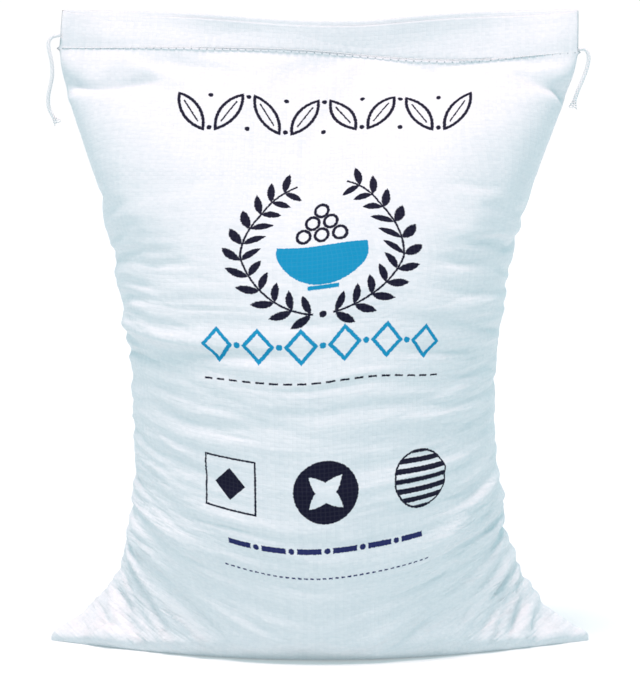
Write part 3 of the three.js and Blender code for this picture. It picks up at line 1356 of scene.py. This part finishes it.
@dataclass(frozen=True)
class PrintedFace:
    """The print on the front: rows of simple shapes in three inks, in millimetres on the cloth.

    A pair of sizes holds two half measures. Each method gives the distance to its shapes, which
    is below zero inside them.
    """

    middle: float = 191.0
    leaves: DottedRow = DottedRow(464, 26.4, 8, 1.9, 2, 18)
    leaf: Pair = (18.5, 7.2)
    leaf_lean: float = 32
    leaf_half_stroke: float = 1.25
    leaf_rib: Pair = (0.7, 10)
    leaf_dots_off: float = 13
    wreath_level: float = 364
    wreath_radius: float = 47.0
    wreath_pairs: int = 26
    wreath_from: float = 0.5
    wreath_to: float = 11.5
    wreath_leaf: Pair = (7.2, 2.6)
    wreath_leaf_off: float = 5.6
    wreath_leaf_lean: float = -52
    stem_half: float = 0.8
    knot: float = 2.3
    bowl_drop: float = 1
    bowl_radius: float = 27
    foot_drop: float = 29.5
    foot: Pair = (9, 1.6)
    ring_rows: tuple[tuple[int, float], ...] = ((3, 6.5), (2, 15.5), (1, 24))
    ring_pitch: float = 12.2
    ring_radius: float = 4.4
    ring_half_stroke: float = 1.15
    diamonds: DottedRow = DottedRow(297, 26.0, 6, 2.1, 2.2, 12)
    diamond_slopes: Pair = (0.76, 0.65)
    diamond_size: float = 6.6
    diamond_half_stroke: float = 1.35
    badge_level: float = 203
    badges_at: Pair = (-62, 64)
    thin_half_stroke: float = 0.8
    square_half: float = 17.5
    gem_half: float = 11
    petal: Pair = (13.5, 4.2)
    petal_lean: float = 45
    petal_room: float = 0.6
    seal_radius: float = 20.5
    banded_radius: float = 19.5
    band_pitch: float = 6.5
    band_half: float = 1.9
    dark_dashes: Dashes = Dashes(273.5, 78, 8.6667, (2.9, 0.75))
    violet_dashes: Dashes = Dashes(165, 66, 22, (7.6, 1.9))
    violet_dot: float = 2.0
    violet_dots_to: float = 60
    low_dashes: Dashes = Dashes(147, 68, 4, (1.25, 0.6))

    def leaf_row(self, x: Reading, y: Reading) -> Reading:
        """Lay out the top row: leaf outlines that lean to and fro, with dots between them.

        Args:
            x: distance from the middle.
            y: height over the row.

        Returns:
            The distance to its shapes.
        """
        pitch, first = self.leaves.pitch, x + self.leaves.half
        number = (first / pitch).floor()
        cell = first - number * pitch - pitch / 2
        lean = number.repeated(2) * 2 + 1
        a, b = turned(cell * lean, y, self.leaf_lean)
        outline = outlined(almond(a, b, *self.leaf) + self.leaf_half_stroke, self.leaf_half_stroke)
        leaves = outline.least(box(a, b, *self.leaf_rib))
        return self.leaves.finished(x, y, leaves, abs(y) - self.leaf_dots_off)

    def wreath(self, x: Reading, y: Reading) -> Reading:
        """Lay out the wreath: two leafy stems that rise from a knot and leave a gap at the top.

        Args:
            x: distance from the middle.
            y: height over the wreath's centre.

        Returns:
            The distance to its shapes.
        """
        radius = self.wreath_radius
        angle = x.shader.math("ARCTAN2", abs(x), 0 - y) * radius
        across = abs(disc(x, y, radius))
        pitch = 2 * math.pi * radius / self.wreath_pairs
        from_leaf = across - self.wreath_leaf_off
        a, b = turned(from_leaf, angle.repeated(pitch), self.wreath_leaf_lean)
        ends = (pitch * self.wreath_from - angle).most(angle - pitch * self.wreath_to)
        stems = almond(a, b, *self.wreath_leaf).least(across - self.stem_half).most(ends)
        return stems.least(disc(x, y + radius, self.knot))

    def bowl(self, x: Reading, y: Reading) -> Reading:
        """Give the bowl in the wreath, on a small foot."""
        cup = disc(x, y + self.bowl_drop, self.bowl_radius).most(y + self.bowl_drop)
        return cup.least(box(x, y + self.foot_drop, *self.foot))

    def stacked_rings(self, x: Reading, y: Reading) -> Reading:
        """Stack the rings on the bowl.

        Args:
            x: distance from the middle.
            y: height over the wreath's centre.

        Returns:
            The distance to the rings.
        """
        rings = []
        for count, height in self.ring_rows:
            for place in range(count):
                middle = (place - (count - 1) / 2) * self.ring_pitch
                ring = disc(x - middle, y - height, self.ring_radius)
                rings.append(outlined(ring, self.ring_half_stroke))
        return reduce(Reading.least, rings)

    def diamond_row(self, x: Reading, y: Reading) -> Reading:
        """Lay out the row of outlined diamonds with dots between them.

        Args:
            x: distance from the middle.
            y: height over the row.

        Returns:
            The distance to its shapes.
        """
        row, (across, up) = self.diamonds, self.diamond_slopes
        cell = (x + row.half - row.pitch / 2).repeated(row.pitch)
        diamond = abs(cell) * across + abs(y) * up - self.diamond_size
        return row.finished(x, y, outlined(diamond, self.diamond_half_stroke), y)

    def badges(self, x: Reading, y: Reading) -> Reading:
        """Lay out the badges: a framed diamond, a solid disc with petals, and a banded disc.

        Args:
            x: distance from the middle.
            y: height over the row.

        Returns:
            The distance to the three badges.
        """
        left, right = (x - middle for middle in self.badges_at)
        square = outlined(box(left, y, self.square_half, self.square_half), self.thin_half_stroke)
        framed = square.least(abs(left) + abs(y) - self.gem_half)
        leans = (self.petal_lean, -self.petal_lean)
        petals = reduce(Reading.least, (almond(*turned(x, y, lean), *self.petal) for lean in leans))
        seal = disc(x, y, self.seal_radius).most(self.petal_room - petals)
        rim = disc(right, y, self.banded_radius)
        banded = rim.most(outlined(y.repeated(self.band_pitch), self.band_half))
        return framed.least(seal).least(banded.least(outlined(rim, self.thin_half_stroke)))

    def inks(self, u: Reading, v: Reading) -> dict[str, Reading]:
        """Lay out the face.

        Args:
            u: distance round the tube from the left fold, in millimetres.
            v: height along the cloth, in millimetres.

        Returns:
            The distance to the edge of each ink.
        """
        x = u - self.middle
        in_wreath = v - self.wreath_level
        dark = (
            self.leaf_row(x, v - self.leaves.level),
            self.wreath(x, in_wreath),
            self.stacked_rings(x, in_wreath),
            self.dark_dashes.edge(x, v),
            self.badges(x, v - self.badge_level),
        )
        row = self.violet_dashes
        dots = disc((x + row.half).repeated(row.pitch), v - row.level, self.violet_dot)
        dots = dots.most(abs(x) - self.violet_dots_to)
        violet = (row.edge(x, v), dots, self.low_dashes.edge(x, v))
        blue = (self.bowl(x, in_wreath), self.diamond_row(x, v - self.diamonds.level))
        shapes = {"dark": dark, "violet": violet, "blue": blue}
        return {ink: reduce(Reading.least, parts) for ink, parts in shapes.items()}


@dataclass(frozen=True)
class WovenCloth:
    """White flat plastic tapes in a plain weave, with ink on them. Lengths in millimetres.

    A noise is given by its scale and its detail, and a rise by where it starts and ends.
    """

    tape: float = 2.8
    crossing: Pair = (-0.04, 0.04)
    tape_edge: Pair = (0, 0.4)
    weft_draws: int = 500
    relief: float = 0.07
    white: Colour = (0.70, 0.745, 0.77, 1)
    # The darker colour: painted shade in the gaps between the tapes, and the tapes' own uneven tone,
    # wear and grain.
    gap: Colour = (0.52, 0.60, 0.64, 1)
    dark_ink: Colour = (0.004, 0.0045, 0.020, 1)
    violet_ink: Colour = (0.014, 0.020, 0.100, 1)
    blue_ink: Colour = (0.003, 0.240, 0.440, 1)
    # Painted shade: the dark dots in the needle holes along the top seam.
    hole: Colour = (0.34, 0.39, 0.42, 1)
    gap_noise: Pair = (220, 2)
    gap_shade: float = 0.19
    tape_shade: float = 0.20
    wear_noise: Pair = (34, 4)
    wear_shade: float = 0.14
    grain_stretch: Point = (1, 1, 3)
    grain_noise: Pair = (260, 3)
    grain_rise: Pair = (0.3, 0.75)
    grain_shade: float = 0.22
    ink_gaps: float = 0.022
    ink_roughness: float = 0.35
    ink_edge: Pair = (-0.35, 0.25)
    ragged_noise: Pair = (900, 2)
    ragged: float = 0.5
    ragged_gaps: float = 0.25
    hole_radius: float = 0.5
    hole_edge: Pair = (-0.25, 0.25)
    hole_shade: float = 0.8
    specular: float = 0.12
    roughness: float = 0.43
    gloss_noise: Pair = (45, 2)
    gloss_spread: float = 0.16
    gap_roughness: float = 0.12
    crinkle_noise: Pair = (85, 3)
    crinkle: float = 0.25
    crease_stretch: Point = (0.22, 0.22, 1)
    crease_noise: Pair = (48, 3)
    crease_rise: Pair = (0.55, 1)
    crease: float = 0.75
    fine_stretch: Point = (0.30, 0.30, 1)
    fine_noise: Pair = (120, 2)
    fine_rise: Pair = (0.6, 1)
    fine_crease: float = 0.32
    calm_middle: Pair = (40, 185)
    calm_middle_by: float = 0.55
    calm_top: Pair = (250, 420)
    calm_top_by: float = 0.8
    pucker: float = 0.2
    pucker_reach: Pair = (1.5, 9)
    front_middle: float = 185.0
    flank_sag: float = 0.16
    corner_sag: float = 0.45
    corner_heights: Pair = (50, 200)

    def weave(self, shader: Shader, u: Reading, v: Reading) -> tuple[Reading, Reading]:
        """Weave the tapes.

        Args:
            shader: the material.
            u: distance round the tube.
            v: height along the cloth.

        Returns:
            The height of the tapes, and the tone of the one that lies on top, from 0 to 1.
        """
        turn = math.pi / self.tape
        wave_u, wave_v = (u * turn).sin(), (v * turn).sin()
        over = (wave_u * wave_v).rise(*self.crossing)
        warp = (0.5 + 0.5 * abs(wave_v)) * abs(wave_u).rise(*self.tape_edge)
        weft = (0.5 + 0.5 * abs(wave_u)) * abs(wave_v).rise(*self.tape_edge)
        warp_tone = shader.draw((u / self.tape).floor())
        weft_tone = shader.draw((v / self.tape).floor() + self.weft_draws)
        return weft + (warp - weft) * over, weft_tone + (warp_tone - weft_tone) * over

    def bare_cloth(self, shader: Shader, height: Reading, tone: Reading) -> Socket:
        """Colour the tapes, which are uneven and worn, with painted shade in the gaps.

        Args:
            shader: the material.
            height: the height of the tapes.
            tone: the tone of the one that lies on top.

        Returns:
            The colour.
        """
        place = shader.object_place()
        grain = shader.noise(shader.stretched(place, self.grain_stretch), *self.grain_noise)
        # Painted shade where the tapes dip into the gaps between them; the tone, wear and grain below
        # are the cloth's own.
        shade = (1 - height) * shader.noise(place, *self.gap_noise) * self.gap_shade
        shade = shade + tone * self.tape_shade
        shade = shade + shader.noise(place, *self.wear_noise) * self.wear_shade
        shade = shade + grain.rise(*self.grain_rise) * self.grain_shade
        return shader.blend(shade, self.white, self.gap)

    def creases(self, shader: Shader, u: Reading, v: Reading) -> Reading:
        """Draw the finest creases, which sag towards the middle and fade there and at the top.

        Args:
            shader: the material.
            u: distance round the tube.
            v: height along the cloth.

        Returns:
            Their height.
        """
        x, y, z = shader.parts(shader.object_place())
        sag = abs(x) * (self.flank_sag + (1 - v.rise(*self.corner_heights)) * self.corner_sag)
        sagging = shader.node("ShaderNodeCombineXYZ", {}, {"X": x, "Y": y, "Z": z - sag}).outputs[0]
        creases = 0
        for stretch, noise, rise, strength in (
            (self.crease_stretch, self.crease_noise, self.crease_rise, self.crease),
            (self.fine_stretch, self.fine_noise, self.fine_rise, self.fine_crease),
        ):
            ridges = 1 - abs(shader.noise(shader.stretched(sagging, stretch), *noise) * 2 - 1)
            creases = ridges.rise(*rise) * strength + creases
        off_fold = abs(u.repeated(2 * self.front_middle))
        creases = creases * (1 - off_fold.rise(*self.calm_middle) * self.calm_middle_by)
        return creases * (1 - v.rise(*self.calm_top) * self.calm_top_by)

    def build(self, face: PrintedFace) -> Finish:
        """Make the material.

        Args:
            face: the print.

        Returns:
            The woven cloth.
        """
        shader = Shader("woven_cloth")
        u, v = (part * PER_METRE for part in shader.mapped(CLOTH_MAP))
        place = shader.object_place()
        seam_node = shader.node("ShaderNodeAttribute", {"attribute_name": SEAM_READING}, {})
        above = Reading(shader, seam_node.outputs["Fac"]) * PER_METRE
        height, tone = self.weave(shader, u, v)
        cloth = self.bare_cloth(shader, height, tone)

        ragged = (shader.noise(place, *self.ragged_noise) - 0.5) * (self.ragged * 2)
        ragged = ragged + (1 - height) * self.ragged_gaps
        inked = 0
        for ink, distance in face.inks(u, v).items():
            cover = 1 - (distance + ragged).rise(*self.ink_edge)
            colour = getattr(self, ink + "_ink")
            cloth = shader.blend(cover * (1 - self.ink_gaps * (1 - height)), cloth, colour)
            inked = cover + inked
        # Painted shade in the needle holes: a dark dot at each hole along the top seam.
        pitch = STITCH_PITCH * PER_METRE
        from_hole = u - self.front_middle - pitch / 2
        hole = disc(from_hole.repeated(pitch), above, self.hole_radius).rise(*self.hole_edge)
        shader.dress("Base Color", shader.blend((1 - hole) * self.hole_shade, cloth, self.hole))

        gloss = (shader.noise(place, *self.gloss_noise) - 0.5) * self.gloss_spread
        rough = self.roughness + gloss + (1 - height) * self.gap_roughness
        shader.dress("Roughness", rough + inked * self.ink_roughness)
        shader.surface.inputs["Specular IOR Level"].default_value = self.specular

        near_seam = 1 - abs(above).rise(*self.pucker_reach)
        puckers = ((from_hole * (2 * math.pi / pitch)).cosine() * 0.5 + 0.5) * near_seam
        relief = height * self.relief + shader.noise(place, *self.crinkle_noise) * self.crinkle
        relief = relief + self.creases(shader, u, v) - puckers * self.pucker
        shader.dress("Normal", shader.raise_by(relief, MM))
        return shader.material


class StrandRun(Enum):
    """How a thread's finish finds its way along the thread."""

    ALONG_SEAM = "object"
    MAPPED = "map"


@dataclass(frozen=True)
class SpunThread:
    """Matt white spun thread. Lengths in millimetres."""

    colour: Colour = (0.80, 0.82, 0.83, 1)
    # The darker colour: painted shade in the grooves between the plies, and the thread's own darker
    # fibres.
    shade: Colour = (0.64, 0.68, 0.70, 1)
    ply_pitch: float = 1.1
    roughness: float = 0.78
    relief: float = 0.07
    fibre_noise: Pair = (2600, 2)
    fibre_shade: float = 0.4
    fibre_relief: float = 0.5

    def build(self, run: StrandRun) -> Finish:
        """Make the material.

        Args:
            run: how the plies find their way.

        Returns:
            The thread.
        """
        shader = Shader("spun_thread_" + run.value)
        place = shader.object_place()
        per_ply = PER_METRE / self.ply_pitch
        if run is StrandRun.MAPPED:
            along, around = shader.mapped(STRAND_MAP)
            phase = along * per_ply + around
        else:
            along, _, up = shader.parts(place)
            phase = (along + up) * per_ply
        # The ply stripes are painted shade in the grooves between the plies; the fibre noise is the
        # thread's own uneven tone.
        ply = (phase * (2 * math.pi)).sin() * 0.5 + 0.5
        fibre = shader.noise(place, *self.fibre_noise)
        light = ply * (1 - self.fibre_shade) + fibre * self.fibre_shade
        shader.dress("Base Color", shader.blend(light, self.shade, self.colour))
        shader.surface.inputs["Roughness"].default_value = self.roughness
        relief = ply + fibre * self.fibre_relief
        shader.dress("Normal", shader.raise_by(relief, self.relief * MM))
        return shader.material


@dataclass(frozen=True)
class PaleFloor:
    """Smooth white paper."""

    colour: Colour = (0.54, 0.61, 0.62, 1)
    roughness: float = 0.9
    glow: float = 0.25
    grain_noise: Pair = (30, 3)
    grain_tint: float = 0.97

    def build(self) -> Finish:
        """Make the material.

        Returns:
            The paper.
        """
        shader = Shader("pale_floor")
        grain = shader.noise(shader.object_place(), *self.grain_noise)
        tint = tuple(self.grain_tint * part for part in self.colour[:3]) + (1,)
        shader.dress("Base Color", shader.blend(grain, tint, self.colour))
        shader.surface.inputs["Roughness"].default_value = self.roughness
        shader.surface.inputs["Emission Color"].default_value = (1, 1, 1, 1)
        shader.surface.inputs["Emission Strength"].default_value = self.glow
        return shader.material


@dataclass(frozen=True)
class Sun:
    """A sun: its name, a place in the direction that it shines from, its strength and tint."""

    name: str
    source: Point
    strength: float
    tint: Point


@dataclass(frozen=True)
class Studio:
    """The camera at the photograph's angle, the pale floor and the soft lights."""

    distance: float = 1.9
    camera_height: float = 0.33
    aim_height: float = 0.2008
    frame_width: float = 0.432
    sensor: float = 36.0
    white: Colour = (1.02, 1.02, 1.03, 1)
    cool: Colour = (0.62, 1.06, 1.15, 1)
    cool_from: Pair = (0.08, 0.20)
    ceiling_from: Pair = (0.35, 0.65)
    ceiling_share: float = 0.35
    softness: float = 24.0
    floor_reach: float = 40.0
    suns: tuple[Sun, ...] = (
        Sun("key", (-0.13, -0.34, 1.4), 3.9, (1, 0.68, 0.66)),
        Sun("back", (0.9, 1.6, 1.3), 0.5, (1, 1, 1)),
    )

    def camera(self) -> None:
        """Add the camera and make it the scene's."""
        data = bpy.data.cameras.new("camera")
        camera = linked("camera", data)
        drop = math.atan2(self.camera_height - self.aim_height, self.distance)
        camera.location = (0, -self.distance, self.camera_height)
        camera.rotation_euler = (math.pi / 2 - drop, 0, 0)
        data.sensor_fit = "HORIZONTAL"
        data.sensor_width = self.sensor
        data.lens = self.sensor * self.distance / math.cos(drop) / self.frame_width
        bpy.context.scene.camera = camera

    def shine(self, sun: Sun) -> None:
        """Add a soft sun.

        Args:
            sun: what it is like.
        """
        data = bpy.data.lights.new(sun.name, "SUN")
        data.angle = math.radians(self.softness)
        data.energy = sun.strength
        data.color = sun.tint
        lamp = linked(sun.name, data)
        lamp.location = sun.source
        lamp.rotation_euler = Vector(sun.source).to_track_quat("Z", "Y").to_euler()

    def sky(self) -> bpy.types.World:
        """Make a world that is white at the horizon, cool above it and dimmer overhead.

        Returns:
            The world.
        """
        world = bpy.data.worlds.new("soft_white")
        world.use_nodes = True
        nodes, links = world.node_tree.nodes, world.node_tree.links
        background = nodes["Background"]
        parts = nodes.new("ShaderNodeSeparateXYZ")
        links.new(nodes.new("ShaderNodeTexCoord").outputs["Generated"], parts.inputs[0])
        tint = nodes.new("ShaderNodeMix")
        tint.data_type = "RGBA"
        tint.inputs[6].default_value, tint.inputs[7].default_value = self.white, self.cool
        ranges = (*self.cool_from, 0.0, 1.0), (*self.ceiling_from, 1.0, self.ceiling_share)
        for values, target in zip(ranges, (tint.inputs[0], background.inputs["Strength"])):
            change = nodes.new("ShaderNodeMapRange")
            change.interpolation_type = "SMOOTHSTEP"
            for socket, value in zip(list(change.inputs)[1:5], values):
                socket.default_value = value
            links.new(parts.outputs[2], change.inputs[0])
            links.new(change.outputs[0], target)
        links.new(tint.outputs[2], background.inputs["Color"])
        return world

    def build(self, paper: Finish) -> None:
        """Set up the world, the floor and the lights.

        Args:
            paper: the floor's finish.
        """
        scene = bpy.context.scene
        scene.view_settings.view_transform = "Standard"
        scene.world = self.sky()
        for sun in self.suns:
            self.shine(sun)
        bpy.ops.mesh.primitive_plane_add(size=2 * self.floor_reach)
        floor = bpy.context.object
        floor.name = "floor"
        floor.data.materials.append(paper)


def main() -> None:
    """Build the sack piece by piece."""
    logging.basicConfig(level=logging.INFO, format="%(message)s")
    studio = Studio()
    studio.camera()
    tail_finish = SpunThread().build(StrandRun.MAPPED)
    ThreadTail("tail_left", "thread_tail_left", LEFT_ROUTE).build(tail_finish)
    ThreadTail("tail_right", "thread_tail_right", RIGHT_ROUTE).build(tail_finish)

    form = SackForm.from_frame("sack")
    grid = ClothGrid(form)
    sack = WovenSack(form, grid, Inflation()).build(WovenCloth().build(PrintedFace()))
    declare(sack, "sack")

    for node, row in TopSeam(form, grid).build(SpunThread().build(StrandRun.ALONG_SEAM)).items():
        declare(row, node)

    studio.build(PaleFloor().build())


if __name__ == "__main__":
    main()
